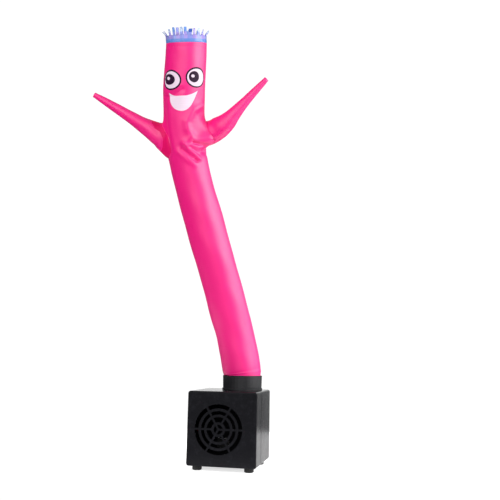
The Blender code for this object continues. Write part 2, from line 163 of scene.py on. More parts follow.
def makeCamera():
    yaw, pitch, roll = (radians(camera[name]) for name in ("yaw", "pitch", "roll"))
    ahead = Vector((-sin(yaw) * cos(pitch), cos(yaw) * cos(pitch), sin(pitch)))
    level = Vector((cos(yaw), sin(yaw), 0.0))
    upright = level.cross(ahead)
    right = level * cos(roll) + upright * sin(roll)
    up = upright * cos(roll) - level * sin(roll)
    view = bpy.data.cameras.new("photoView")
    view.lens = camera["lens"]
    view.sensor_width = camera["sensor"]
    view.clip_start, view.clip_end = camera["sees"]
    viewer = bpy.data.objects.new("photoView", view)
    turn = Matrix((right, up, -ahead)).transposed().to_4x4()
    viewer.matrix_world = Matrix.Translation(toScene(camera["place"])) @ turn
    bpy.context.collection.objects.link(viewer)
    bpy.context.scene.camera = viewer


makeCamera()
print("camera: lens", camera["lens"], "mm")

# Studio: a pale glowing floor and soft lights, in a plain white surround that lights the object
# less than it shows. The floor is a matt painted board, with hardly a tone across it.
studio = {
    "floorColour": "#FFFFFF",
    "floorGlow": 0.68,  # the floor is lit from below as well, which takes the shadows away
    "floorRoughness": (0.88, 0.92),
    "floorMottle": 60.0,
    "floorFrom": (-330.0, -120.0),  # its corners
    "floorTo": (470.0, 345.0),
    "surroundColour": "#FFFFFF",
    "shows": 1.05,  # the surround's strength where it is seen straight
    "dim": 0.06,  # the light that it gives beside its two bright parts
    "bright": [  # the way there, cosines from there where it ends and where it is full, strength
        ((-0.21, 0.977, 0.04), 0.90, 0.975, 1.5),
        ((0.0, 0.0, 1.0), 0.35, 0.95, 0.35),
    ],
    "lights": [  # name, place, looks at, size, watts, shows as a highlight
        ("sideRight", (760.0, -190.0, 460.0), (0.0, -40.0, 260.0), 640.0, 7.2, True),
        ("rimRight", (740.0, 380.0, 420.0), (0.0, -40.0, 260.0), 520.0, 2.4, True),
        ("frontKey", (-20.0, -900.0, 440.0), (0.0, -40.0, 240.0), 700.0, 4.4, True),
        ("fillLeft", (-520.0, -700.0, 330.0), (0.0, -40.0, 240.0), 240.0, 2.6, False),
        ("backSoft", (-200.0, 950.0, 1150.0), (0.0, 0.0, 200.0), 700.0, 6.0, False),
    ],
}


def makeFloor():
    floor, tree = newMaterial("paleStudioFloor")
    colour = linear(studio["floorColour"])
    low, high = studio["floorRoughness"]
    mottle = addNode(tree, "TexNoise", {"Scale": noiseScale(studio["floorMottle"])})
    tone = addNode(tree, "MapRange", {"To Min": low, "To Max": high}, {"Value": mottle})
    finishMaterial(tree, {"Base Color": colour, "IOR": 1.45, "Emission Color": colour,
            "Emission Strength": studio["floorGlow"]}, {"Roughness": tone})
    (left, near), (right, far) = studio["floorFrom"], studio["floorTo"]
    corners = [(left, near, 0), (right, near, 0), (right, far, 0), (left, far, 0)]
    ground = addMesh("studioFloor", corners, [(0, 1, 2, 3)], [floor], smooth=False)


def makeLights():
    for name, place, target, size, watts, highlight in studio["lights"]:
        lamp = bpy.data.lights.new(name, "AREA")
        lamp.size = size * mm
        lamp.energy = watts
        light = bpy.data.objects.new(name, lamp)
        light.location = toScene(place)
        light.visible_glossy = highlight
        way = toScene(target) - toScene(place)
        light.rotation_euler = way.to_track_quat("-Z", "Y").to_euler()
        bpy.context.collection.objects.link(light)


def makeSurround():
    world = bpy.data.worlds.new("whiteSurround")
    world.use_nodes = True
    tree = world.node_tree
    tree.nodes.clear()
    way = addNode(tree, "TexCoord", out="Generated")
    parts = []
    for middle, ends, full, strength in studio["bright"]:
        near = addNode(tree, "VectorMath", {"operation": "DOT_PRODUCT", 1: middle}, {0: way},
                out="Value")
        parts.append(addNode(tree, "MapRange",
                {"interpolation_type": "SMOOTHSTEP", "From Min": ends, "From Max": full,
                "To Min": studio["dim"], "To Max": strength}, {"Value": near}))
    glow = addNode(tree, "Math", {"operation": "MAXIMUM"}, {0: parts[0], 1: parts[1]})
    seen = addNode(tree, "LightPath", out="Is Camera Ray")
    strength = addNode(tree, "Mix", {"data_type": "FLOAT", 3: studio["shows"]}, {0: seen, 2: glow})
    light = addNode(tree, "Background", {"Color": linear(studio["surroundColour"])},
            {"Strength": strength})
    addNode(tree, "OutputWorld", links={"Surface": light})
    bpy.context.scene.world = world
    bpy.context.scene.view_settings.view_transform = "Standard"  # keeps the cloth's strong pink


makeFloor()
makeLights()
makeSurround()
print("studio: floor and", len(studio["lights"]), "lights")

# Plain-woven polyester with a thin coat on its face: a soft satin gloss, and a fine even weave
# that only shows close by. Real threads are about 0.15 mm apart; they are drawn 0.9 mm apart, so
# that they show.
polyester = {
    "threads": 0.9,
    "threadDepth": 0.0025,
    "slubWide": 0.6,  # thick and thin threads
    "slubLong": 24.0,
    "slubTone": (0.3, 0.7),  # their noise where the deep colour is full, and the main one
    "crinkle": 7.0,
    "crinkleDepth": 0.05,
    "crinkleStrength": 0.8,
    "roughness": (0.41, 0.52),
    "ior": 1.5,
    "sheen": 0.08,
    "sheenRoughness": 0.35,
}
clothColours = {  # main colour, deep colour, gloss, added roughness: the print dulls the coat
    "pinkWovenPolyester": ("#F71084", "#F30D7E", 0.85, 0.0),
    # over the seam allowance, where less light comes through, and darker and duller still as
    # painted shade of the crease by the armhole
    "twoLayerShadePolyester": ("#E80468", "#DE0360", 0.28, 0.1),
    "whitePrintedPolyester": ("#EFDAEB", "#E8D1E3", 0.4, 0.12),
    "palePrintedPolyester": ("#F3DEEE", "#ECD5E6", 0.4, 0.12),
    "darkPrintedPolyester": ("#301233", "#240C28", 0.22, 0.15),
}


def wovenPolyester(name):
    material, tree = newMaterial(name)
    colour, deep, gloss, dull = clothColours[name]
    place = addNode(tree, "UVMap", {"uv_map": "clothPlace"})
    # a plain weave is warp bumps times weft bumps
    warp, weft = (addNode(tree, "TexWave",
            {"bands_direction": across, "Scale": waveScale(polyester["threads"])},
            {"Vector": place}, out="Fac") for across in ("X", "Y"))
    weave = addNode(tree, "Math", {"operation": "MULTIPLY"}, {0: warp, 1: weft})
    slubScale = (noiseScale(polyester["slubLong"]), noiseScale(polyester["slubWide"]), 1.0)
    along = addNode(tree, "Mapping", {"Scale": slubScale}, {"Vector": place})
    slubs = addNode(tree, "TexNoise", {"Scale": 1.0, "Detail": 2.0}, {"Vector": along})
    crinkles = addNode(tree, "TexNoise", {"Scale": noiseScale(polyester["crinkle"]), "Detail": 3.0,
            "Roughness": 0.55}, {"Vector": place})
    low, high = polyester["slubTone"]
    fade = addNode(tree, "MapRange", {"From Min": low, "From Max": high}, {"Value": slubs})
    tint = addNode(tree, "Mix", {"data_type": "RGBA", 6: linear(deep), 7: linear(colour)},
            {0: fade}, out=2)
    low, high = polyester["roughness"]
    rough = addNode(tree, "MapRange", {"To Min": low + dull, "To Max": high + dull},
            {"Value": crinkles})
    bump = {}
    for height, depth, strength in ((weave, "threadDepth", 1.0),
            (crinkles, "crinkleDepth", polyester["crinkleStrength"])):
        bump = {"Normal": addNode(tree, "Bump",
                {"Distance": polyester[depth] * mm, "Strength": strength},
                {"Height": height, **bump})}
    finishMaterial(tree, {"IOR": polyester["ior"], "Sheen Weight": polyester["sheen"],
            "Sheen Roughness": polyester["sheenRoughness"], "Specular IOR Level": gloss},
            {"Base Color": tint, "Roughness": rough, **bump})
    return material


# Cast polythene film, cut into strips: a clear glossy skin over a blue tint, with fine draw
# lines along it.
film = {
    "drawLines": 0.5,  # real ones are about 0.1 mm apart, drawn coarser so that they show
    "lineDepth": 0.01,
    "ripple": 3.0,
    "rippleDepth": 0.06,
    "roughness": (0.16, 0.30),
    "ior": 1.51,
    "clear": 0.25,
    # each: the film's tint, and a paler colour that is a painted highlight where the ripples rise
    "colours": {
        "blueFilm": ("#5E8FE0", "#86AEF2"),
        "periwinkleFilm": ("#8E96EC", "#A9B4F6"),
        "lavenderFilm": ("#A592EA", "#BFB0F4"),
        "deepBlueFilm": ("#3A5CBE", "#5478D2"),
        "paleFilm": ("#B4CDF6", "#D2E2FB"),
    },
}


def castFilm(name):
    material, tree = newMaterial(name)
    deep, colour = film["colours"][name]
    place = addNode(tree, "UVMap", {"uv_map": "clothPlace"})
    lines = addNode(tree, "TexWave", {"bands_direction": "X", "Scale": waveScale(film["drawLines"]),
            "Distortion": 1.5, "Detail": 1.0}, {"Vector": place}, out="Fac")
    ripples = addNode(tree, "TexNoise", {"Scale": noiseScale(film["ripple"]), "Detail": 2.0},
            {"Vector": place})
    # paler where the ripples rise: a painted highlight on their crests
    tint = addNode(tree, "Mix", {"data_type": "RGBA", 6: linear(deep), 7: linear(colour)},
            {0: ripples}, out=2)
    low, high = film["roughness"]
    rough = addNode(tree, "MapRange", {"To Min": low, "To Max": high}, {"Value": ripples})
    bump = {}
    for height, depth in ((lines, "lineDepth"), (ripples, "rippleDepth")):
        bump = {"Normal": addNode(tree, "Bump", {"Distance": film[depth] * mm},
                {"Height": height, **bump})}
    finishMaterial(tree, {"IOR": film["ior"], "Transmission Weight": film["clear"]},
            {"Base Color": tint, "Roughness": rough, **bump})
    return material


# Twisted polyester sewing thread: matt, a shade darker than the cloth, ridged by its twist.
thread = {
    "colour": "#E3247E",
    # paler on the twist's ridges: a painted highlight
    "light": "#F2559E",
    "twist": 0.7,
    "twistDepth": 0.04,
    "roughness": 0.7,
    "ior": 1.5,
}


def twistedThread():
    material, tree = newMaterial("pinkSewingThread")
    place = addNode(tree, "TexCoord", out="Object")
    twist = addNode(tree, "TexWave",
            {"bands_direction": "DIAGONAL", "Scale": waveScale(thread["twist"])},
            {"Vector": place}, out="Fac")
    # paler where the twist rises: a painted highlight on its ridges
    tint = addNode(tree, "Mix", {"data_type": "RGBA", 6: linear(thread["colour"]),
            7: linear(thread["light"])}, {0: twist}, out=2)
    bump = addNode(tree, "Bump", {"Distance": thread["twistDepth"] * mm}, {"Height": twist})
    finishMaterial(tree, {"Roughness": thread["roughness"], "IOR": thread["ior"]},
            {"Base Color": tint, "Normal": bump})
    return material


# Injection-moulded ABS in black for the shells and the ring: half gloss from a fine spark-eroded
# mould, slow flow waves, and paler handling marks. The inlet is nylon, a duller moulding, and the
# feet are pressed rubber, matt and soft. Spark grain is about 0.1 mm; it is drawn coarser, so that
# it shows. The ring and the feet have fine mould lines round them.
mouldings = {  # grain, wave and mould lines: their size and their depth
    "blackMouldedAbs": {"colour": "#18181B", "worn": "#202024", "grain": (0.5, 0.012),
        "wave": (22.0, 0.20), "lines": (3.0, 0.0),
        "roughness": (0.17, 0.25), "ior": 1.54, "gloss": 0.045},
    "blackRingAbs": {"colour": "#1C1C1F", "worn": "#26262A", "grain": (0.5, 0.015),
        "wave": (14.0, 0.05), "lines": (1.5, 0.05),
        "roughness": (0.48, 0.58), "ior": 1.54, "gloss": 0.35},
    "dullMouldedNylon": {"colour": "#161617", "worn": "#232324", "grain": (0.4, 0.02),
        "wave": (8.0, 0.03), "lines": (3.0, 0.0),
        "roughness": (0.50, 0.62), "ior": 1.53, "gloss": 0.4},
    "pressedRubber": {"colour": "#131313", "worn": "#262524", "grain": (0.7, 0.05),
        "wave": (6.0, 0.05), "lines": (2.5, 0.04),
        "roughness": (0.68, 0.85), "ior": 1.52, "gloss": 0.4},
}
handling = {  # marks on all four, worn paler and duller between these values of their noise
    "size": 5.0,
    "pale": (0.52, 0.72),
    "dull": (0.35, 0.7),
}


def moulded(name):
    look = mouldings[name]
    material, tree = newMaterial(name)
    place = addNode(tree, "TexCoord", out="Object")
    grain = addNode(tree, "TexNoise", {"Scale": noiseScale(look["grain"][0]), "Detail": 2.0},
            {"Vector": place})
    stretched = addNode(tree, "Mapping", {"Scale": (1.0, 1.0, 0.3)}, {"Vector": place})
    wave = addNode(tree, "TexNoise", {"Scale": noiseScale(look["wave"][0]), "Detail": 1.0},
            {"Vector": stretched})
    marks = addNode(tree, "TexNoise",
            {"Scale": noiseScale(handling["size"]), "Detail": 5.0, "Roughness": 0.7},
            {"Vector": place})
    lines = addNode(tree, "TexWave", {"bands_direction": "Z", "Scale": waveScale(look["lines"][0]),
            "Distortion": 0.6, "Detail": 1.0}, {"Vector": place}, out="Fac")
    low, high = handling["pale"]
    wear = addNode(tree, "MapRange", {"From Min": low, "From Max": high}, {"Value": marks})
    tint = addNode(tree, "Mix", {"data_type": "RGBA", 6: linear(look["colour"]),
            7: linear(look["worn"])}, {0: wear}, out=2)
    (low, high), (smooth, dull) = handling["dull"], look["roughness"]
    rough = addNode(tree, "MapRange", {"From Min": low, "From Max": high,
            "To Min": smooth, "To Max": dull}, {"Value": marks})
    bump = {}
    for height, pattern in ((grain, "grain"), (lines, "lines"), (wave, "wave")):
        bump = {"Normal": addNode(tree, "Bump", {"Distance": look[pattern][1] * mm},
                {"Height": height, **bump})}
    finishMaterial(tree, {"IOR": look["ior"], "Specular IOR Level": look["gloss"]},
            {"Base Color": tint, "Roughness": rough, **bump})
    return material


cloth = {name: wovenPolyester(name) for name in clothColours}
films = {name: castFilm(name) for name in film["colours"]}
sewingThread = twistedThread()
print("materials:", len(cloth), "cloths,", len(films), "films,", len(mouldings),
      "mouldings and a thread")

# Tube: body and head in one, sewn up at the back.
hemGroove, rimHem = 104.2, 449.0  # heights where the hems are stitched
seamFrom, seamLeft, seamRight = 104.0, 176.5, 183.5  # where the back seam starts, and its edges
tube = {
    "rows": [  # up, x and y of the middle line, outside width, tip in degrees, from hem to rim
        (87.0, 10.4, 12.8, 41.6, 0.0), (98.5, 10.4, 12.8, 41.5, 0.0),
        (100.2, 10.4, 12.8, 41.7, 0.0), (103.6, 10.0, 12.7, 43.2, 0.0),
        (108.0, 9.1, 12.2, 44.0, 0.0), (127.0, 5.8, 9.9, 44.2, 0.0), (150.0, 1.4, 5.2, 43.3, 0.0),
        (172.0, -4.1, -0.6, 44.1, 0.0), (206.0, -11.8, -10.9, 43.8, 0.0),
        (250.0, -22.5, -25.1, 44.5, 0.0), (283.0, -30.3, -36.1, 43.9, 0.0),
        (305.0, -35.3, -43.6, 42.8, 0.0), (326.0, -39.6, -51.2, 43.0, 0.0),
        (345.0, -41.9, -58.2, 43.7, 0.0), (365.0, -42.5, -65.8, 44.5, 0.0),
        (388.0, -41.7, -75.1, 45.0, 0.0), (406.0, -40.0, -82.4, 45.8, 0.0),
        (423.0, -37.0, -89.6, 45.5, 0.0), (441.0, -34.0, -97.2, 44.6, 2.5),
        (452.7, -32.3, -102.3, 43.9, 4.5),
    ],
    "around": 180,
    "ringSteps": [  # from, to, way between two rings
        (87.0, 104.0, 0.8), (104.0, 318.0, 1.7), (318.0, 402.0, 0.6), (402.0, 452.7, 0.9),
    ],
    "foldRadius": 21.6,  # turns degrees round the tube into mm over the cloth
    "folds": [  # name, width, height (below 0 in a trough), up and round along its line
        ("left stub", 9.0, 2.2, ((371.0, -92.0), (352.0, -88.0))),
        ("right stub", 9.5, 8.2, ((365.5, 94.0), (355.5, 86.0))),
        ("right shoulder", 4.8, 4.0, ((361.0, 84.0), (355.0, 88.0))),
        ("notch under right arm", 4.6, -4.6, ((345.5, 72.0), (345.0, 108.0))),
        ("chest edge", 4.0, 2.1,
         ((393.6, 76.5), (388.5, 44.0), (377.0, 23.8), (370.2, 25.0), (363.0, 34.0))),
        ("band over troughs", 3.6, 1.3, ((355.5, 14.0), (358.6, 28.0), (358.0, 74.0))),
        ("first trough", 1.4, -2.0, ((355.4, 38.0), (349.6, 80.0))),
        ("ridge under it", 2.0, 0.7, ((352.6, 26.0), (346.6, 72.0))),
        ("second trough", 1.8, -0.9, ((350.6, 26.0), (342.5, 52.0))),
        ("long ridge", 2.3, 1.5, ((354.6, 11.0), (336.2, 53.6))),
        ("third trough", 2.2, -1.1, ((349.0, 4.0), (341.0, 24.0), (335.4, 41.5))),
        ("trough's end", 1.4, -0.9, ((337.0, 38.0), (334.6, 44.0))),
        ("lowest ridge", 3.4, 1.3, ((347.0, -8.0), (331.3, 34.3))),
        ("left chest edge", 4.2, 0.8, ((402.0, -26.0), (377.0, -28.0), (350.0, -20.0))),
        ("left chest hollow", 5.0, -1.2, ((400.0, -48.0), (376.0, -50.0), (350.0, -40.0))),
        ("left pull", 1.5, 0.9, ((376.7, -70.0), (345.0, -56.0))),
        ("under the eye", 2.6, -1.3, ((409.0, 12.0), (402.6, -12.0), (401.0, -34.0))),
        ("over the mouth", 3.0, 0.7, ((412.5, 6.0), (407.0, -12.0))),
        ("behind right arm, trough", 3.4, -1.8, ((357.0, 118.0), (344.0, 152.0))),
        ("behind right arm, ridge", 3.6, 1.2, ((351.0, 112.0), (336.0, 146.0))),
        ("behind left arm, trough", 3.4, -1.5, ((362.0, -118.0), (346.0, -146.0))),
        ("behind left arm, ridge", 3.6, 1.0, ((356.0, -112.0), (338.0, -138.0))),
        ("nape", 4.5, -0.9, ((402.0, 150.0), (397.0, 205.0))),
    ],
    "creases": [  # fine ones
        ("hem roll", 0.9, 0.35, ((101.9, -180.0), (101.9, 180.0))),
        ("hem groove", 0.8, -0.2, ((hemGroove, -180.0), (hemGroove, 180.0))),
        ("rim hem", 0.8, -0.15, ((rimHem, -180.0), (rimHem, 180.0))),
        ("back seam", 0.8, 0.4, ((seamFrom, 180.0), (rimHem, 180.0))),
        ("back seam, left", 0.8, -0.22, ((seamFrom, seamLeft), (rimHem, seamLeft))),
        ("back seam, right", 0.8, -0.22, ((seamFrom, seamRight), (rimHem, seamRight))),
    ],
    "ripple": 0.16,  # height of the slow unevenness of filled cloth
    "rippleFoot": (106.0, 20.0),  # the height where it starts, and the way over which it grows
    "rippleHead": (449.0, 12.0),  # the same at the head
    "rimTurn": [(-0.15, -0.1), (-0.05, -0.35), (1.0, -0.5), (7.0, -0.5)],  # hem: down, outwards
    "armholes": {
        "between": (320.0, 400.0),  # heights
        "look": 26.0,  # how far from a seam the cloth may lie under its sleeve
        "hidden": 1.6,  # deeper than this under a sleeve, it is cut away
        "slice": 4.5,  # half the length that one cross section stands for
        "gather": 16.0,  # how far from a seam it is gathered
        "gatherShare": 0.8,  # of the sleeve's gathers
        "dipWide": 1.0,  # half width of the dip along the seam
    },
}
tubeFoot, tubeRim = tube["rows"][0][0], tube["rows"][-1][0]


def rowAt(up):
    # the tube's row at a height, on a smooth curve through the rows
    rows = tube["rows"]
    last = len(rows) - 2
    here = min(max(sum(row[0] <= up for row in rows) - 1, 0), last)
    start, end = rows[here], rows[here + 1]
    before, after = rows[max(here - 1, 0)], rows[min(here + 2, last + 1)]
    span = end[0] - start[0]
    way = (up - start[0]) / span
    values = []
    for z, a, b, c in zip(before[1:], start[1:], end[1:], after[1:]):
        slopeA = (b - z) / (end[0] - before[0]) * span
        slopeB = (c - a) / (after[0] - start[0]) * span
        bend = 2 * (a - b) + slopeA + slopeB
        values.append(a + way * (slopeA + way * (3 * (b - a) - 2 * slopeA - slopeB + way * bend)))
    return values


def tubeAxes(up):
    # the middle, the ways to the right side and to the front, and the radius
    reach = 2.0  # above and below, for the way of the middle line
    low, high = max(up - reach, tubeFoot), min(up + reach, tubeRim)
    a, b = rowAt(low), rowAt(high)
    along = Vector((b[0] - a[0], b[1] - a[1], high - low)).normalized()
    side = Vector((1.0, 0.0, 0.0))
    side = (side - along * side.dot(along)).normalized()
    x, y, wide, tip = rowAt(up)
    front = side.cross(along)
    tip = radians(tip)
    return Vector((x, y, up)), side * cos(tip) + along * sin(tip), front, wide / 2


def outwards(side, front, turn):
    # the way out of the tube, at a turn in degrees
    angle = radians(turn)
    return front * cos(angle) + side * sin(angle)


def foldLines():
    # the folds and creases as straight stretches over the flat cloth, in mm
    radius = tube["foldRadius"]
    lines = []
    for _, wide, high, line in tube["folds"] + tube["creases"]:
        rings = line[-1][1] - line[0][1] > 359.0
        stretches = []
        for (upA, roundA), (upB, roundB) in zip(line, line[1:]):
            for lap in ((0.0,) if rings else (-360.0, 0.0, 360.0)):
                start = (upA, radians(roundA + lap) * radius)
                run = (upB - upA, radians(roundB - roundA) * radius)
                stretches.append((start, run, run[0] ** 2 + run[1] ** 2))
        ups = [place[0] for place in line]
        fades = 3 * wide  # this far away a fold has died out
        lines.append((wide, high, min(ups) - fades, max(ups) + fades, stretches))
    return lines


foldRuns = foldLines()


def foldHeight(up, turns):
    # how far folds, creases and the slow ripple lift the cloth, for places round one height
    angle = np.radians(turns)
    arcs = angle * tube["foldRadius"]
    height = np.zeros_like(arcs)
    for wide, high, lowest, highest, stretches in foldRuns:
        if lowest < up < highest:
            nearest = np.full_like(arcs, 1e6)
            for start, run, square in stretches:
                rise, across = up - start[0], arcs - start[1]
                way = np.clip((rise * run[0] + across * run[1]) / square, 0.0, 1.0)
                nearest = np.minimum(nearest, np.hypot(rise - run[0] * way, across - run[1] * way))
            height += high * np.exp(-((nearest / wide) ** 2))
    (foot, grows), (head, dies) = tube["rippleFoot"], tube["rippleHead"]
    calm = min(max((up - foot) / grows, 0.0), 1.0) * min(max((head - up) / dies, 0.0), 1.0)
    slow = (np.sin(2 * angle + up / 17.0) + 0.8 * np.sin(3 * angle - up / 11.0 + 1.3)
            + 0.6 * np.sin(5 * angle + up / 6.5 + 0.4)
            + 0.5 * np.sin(up / 9.0 + 2.0 * np.sin(angle)))
    return height + tube["ripple"] * calm * slow


def tubePoint(up, turn, lift=0.0):
    middle, side, front, radius = tubeAxes(up)
    reach = radius + lift + float(foldHeight(up, [turn])[0])
    return middle + outwards(side, front, turn) * reach


def clothPlace(up, turn):
    return onCloth(radians(turn), tube["foldRadius"], up)


def tubeHeight(point):
    # how far a point is outside the tube's cloth
    up = point.z
    for _ in range(6):  # closer each time to the height at right angles to the middle line
        middle, side, front, radius = tubeAxes(up)
        along = front.cross(side)
        up = min(max(up + (point - middle).dot(along) * along.z, tubeFoot), tubeRim)
    middle, side, front, radius = tubeAxes(up)
    away = point - middle
    turn = degrees(atan2(away.dot(side), away.dot(front)))
    reach = hypot(away.dot(side), away.dot(front))
    return reach - radius - float(foldHeight(up, [turn])[0])


# Sleeves: their middle lines, from inside the tube to the open tip.
sleeves = {
    "leftSleeve": [  # x, y, up, outside height and depth
        (-46.0, -64.0, 356.0, 48.0, 29.0), (-56.0, -65.5, 359.2, 45.0, 28.5),
        (-63.5, -66.5, 361.6, 37.8, 25.0), (-69.6, -69.4, 363.9, 30.4, 22.5),
        (-75.4, -72.4, 366.3, 24.4, 20.0), (-88.5, -78.2, 373.4, 16.9, 16.9),
        (-101.5, -82.8, 381.6, 13.3, 13.3), (-114.6, -87.6, 389.6, 10.9, 10.9),
        (-127.7, -92.6, 397.5, 8.4, 8.4), (-139.3, -97.6, 404.2, 5.6, 5.6),
    ],
    "rightSleeve": [
        (-37.5, -60.0, 363.4, 29.0, 22.0), (-27.6, -60.0, 364.1, 28.5, 22.0),
        (-15.8, -60.5, 365.9, 27.4, 21.5), (-9.9, -61.5, 367.7, 26.6, 21.5),
        (-3.8, -63.0, 370.3, 25.2, 21.5), (2.3, -64.6, 373.5, 22.4, 20.5),
        (8.3, -66.2, 378.0, 18.6, 18.2), (14.1, -67.6, 383.6, 15.0, 15.0),
        (25.7, -69.3, 395.1, 10.6, 10.6), (36.8, -69.9, 406.4, 8.3, 8.3),
        (50.4, -71.0, 419.6, 5.5, 5.5),
    ],
    "around": 96,
    "steps": 110,
    "spacing": (0.35, 0.65),  # even steps, and ones that start close together at the seam
    "seamWithin": 6.0,  # rows from the start in which the seam lies
    "pucker": {"high": 0.28, "reach": 3.5, "count": 15},  # gathers that run out from the seam
    # tight ones, right arm, in front
    "tucks": {"high": 0.5, "reach": 2.6, "count": 30, "middle": 136.0, "spread": 17.0},
    "seamDip": 0.15,  # how far the stitches pull the cloth in
    "seamDipWide": 0.9,
    "ripple": 0.005,  # unevenness as a share of the sleeve's height
    "foldStart": 3.0,  # the folds fade in over this way from the seam
    "leftSleeveFolds": [  # in front: name, width, height, x and up along its line
        ("hollow by the seam", 4.6, -1.0,
         ((-70.6, 388.0), (-69.6, 366.0), (-66.5, 350.0), (-62.5, 341.0))),
    ],
    "rightSleeveFolds": [
        ("hollow by the seam", 3.2, -0.5, ((-15.0, 378.0), (-6.0, 362.0))),
        ("long fold", 4.0, 0.3, ((5.0, 363.0), (25.5, 385.5), (43.0, 405.5))),
    ],
    # the strip over the seam allowance, painted darker as shade of the crease by the armhole: from,
    # to at the top, to below
    "twoLayerShadeStrip": {"leftSleeve": (1.0, 12.0, 13.0), "rightSleeve": (0.0, 0.0, 0.0)},
    "tipHem": 3.0,
    "tipGroove": (0.22, 0.6),  # depth and width where the tip's hem is stitched
    "tipTurn": [(0.0, -0.12), (0.02, -0.3), (0.25, -0.35)],  # the hem: rows back, outwards
    "tipAlong": 1.0,  # cloth that the turned hem takes
}


def sleeveAxes(rows, way):
    x, y, up, tall, deep = smoothBetween(rows, way)
    a = smoothBetween(rows, max(way - 0.25, 0.0))
    b = smoothBetween(rows, min(way + 0.25, len(rows) - 1))
    along = Vector((b[0] - a[0], b[1] - a[1], b[2] - a[2])).normalized()
    upwards = Vector((0.0, 0.0, 1.0))
    upwards = (upwards - along * upwards.dot(along)).normalized()
    return Vector((x, y, up)), upwards, along.cross(upwards), tall / 2, deep / 2


def sleevePoint(rows, way, angle, lift=0.0):
    middle, upwards, sideways, tall, deep = sleeveAxes(rows, way)
    return (middle + upwards * (cos(angle) * (tall + lift))
            + sideways * (sin(angle) * (deep + lift)))


def puckerAt(name, angle, distance):
    # ripples of gathered cloth, strongest under the arm, dying away from the seam
    shape = sleeves["pucker"]
    uneven = 0.55 + 0.45 * sin(2.3 * angle + 1.0) - 0.35 * cos(angle)
    wave = sin(shape["count"] * angle + 1.7 * sin(3 * angle))
    lift = shape["high"] * uneven * wave * exp(-distance / shape["reach"])
    if name == "leftSleeve":  # nearly flat in front
        lift *= 1.0 - 0.9 * smoothStep(0.6 - 1.5 * sin(angle))
    if name == "rightSleeve":
        shape = sleeves["tucks"]
        away = (degrees(angle) - shape["middle"]) / shape["spread"]
        fade = exp(-away ** 2 - distance / shape["reach"])
        lift += shape["high"] * sin(shape["count"] * angle) * fade
    return lift


def sleeveFold(name, point):
    # how far the folds lift the sleeve at a point
    lift = 0.0
    for _, wide, high, line in sleeves[name + "Folds"]:
        nearest = inf
        for a, b in zip(line, line[1:]):
            across, rise = point.x - a[0], point.z - a[1]
            run = (b[0] - a[0], b[1] - a[1])
            way = (across * run[0] + rise * run[1]) / (run[0] ** 2 + run[1] ** 2)
            way = min(max(way, 0.0), 1.0)
            nearest = min(nearest, hypot(across - run[0] * way, rise - run[1] * way))
        lift += high * exp(-((nearest / wide) ** 2))
    return lift


def sleevePlace(angle, front, radius, run):
    # the rings of the sleeve's cloth close at the back
    turn = (angle - pi / 2 * front + pi) % tau - pi
    return onCloth(turn, radius, run)


def seamWay(rows, angle):
    # where a line of the sleeve comes out of the tube, found by halving
    low, high = 0.0, sleeves["seamWithin"]
    for _ in range(22):
        middle = (low + high) / 2
        if tubeHeight(sleevePoint(rows, middle, angle)) < 0.0:
            low = middle
        else:
            high = middle
    return high


def makeSleeve(name, node):
    rows = sleeves[name]
    last = len(rows) - 1
    front = -1.0 if name == "leftSleeve" else 1.0  # the angle's sine at the side in front
    around, steps = sleeves["around"], sleeves["steps"]
    even, closer = sleeves["spacing"]
    angles = ringAngles(around)
    grid = []  # for each angle, the points out to the tip, with the rows and the mm to there
    for angle in angles:
        root = seamWay(rows, angle)
        line, run = [], 0.0
        for part in range(steps + 1):
            t = part / steps
            way = root + (last - root) * (even * t + closer * t * t)
            point = sleevePoint(rows, way, angle)
            if line:
                run += (point - line[-1][0]).length
            line.append((point, way, run))
        grid.append(line)
    points, places = [], []
    grooveDeep, grooveWide = sleeves["tipGroove"]
    for part in range(steps + 1):
        for angle, line in zip(angles, grid):
            base, way, run = line[part]
            tall, deep = smoothBetween(rows, way)[3:]
            dip = sleeves["seamDip"] * exp(-(run / sleeves["seamDipWide"]) ** 2)
            lift = puckerAt(name, angle, run) - dip
            ripple = sin(4 * angle + way * 3.0) + sin(3 * angle - way * 5.0)
            lift += sleeves["ripple"] * tall * ripple / 2
            toHem = line[-1][2] - run - sleeves["tipHem"]
            lift -= grooveDeep * exp(-(toHem / grooveWide) ** 2)
            inFront = smoothStep(sin(angle) * front * 1.4 - 0.05)
            lift += sleeveFold(name, base) * inFront * smoothStep(run / sleeves["foldStart"])
            points.append(sleevePoint(rows, way, angle, lift) if run > 0 else base)
            radius = (tall + deep) / 4
            places.append(sleevePlace(angle, front, radius, run))
    faces = gridFaces(steps + 1, around, True)
    # the seam allowance lies behind the cloth along the armhole, in front, and deepens it there;
    # its darker colour is also painted shade of the crease there
    nearest, above, below = sleeves["twoLayerShadeStrip"][name]
    twoLayerShadeStrip = set()
    for number in range(len(faces)):
        part, step = divmod(number, around)
        angle = tau * (step + 0.5) / around
        run = (grid[step][part][2] + grid[step][part + 1][2]) / 2
        reach = below + (above - below) * (0.5 + 0.5 * cos(angle))
        if nearest < run < reach and sin(angle) * front > -0.2:
            twoLayerShadeStrip.add(number)
    # the tip's hem turned in
    faces += gridFaces(len(sleeves["tipTurn"]) + 1, around, True, len(points) - around)
    for back, lift in sleeves["tipTurn"]:
        for angle, line in zip(angles, grid):
            points.append(sleevePoint(rows, last - back, angle, lift))
            places.append(sleevePlace(angle, front, radius, line[-1][2] + sleeves["tipAlong"]))
    # the plain cloth, and the strip over the seam allowance, darker as painted shade
    materials = [cloth["pinkWovenPolyester"], cloth["twoLayerShadePolyester"]]
    piece = addMesh(name, points, faces, materials, places)
    for number, polygon in enumerate(piece.data.polygons):
        polygon.material_index = int(number in twoLayerShadeStrip)
    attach(piece, "root")
    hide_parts(node)
    return piece, [line[0][0] for line in grid]


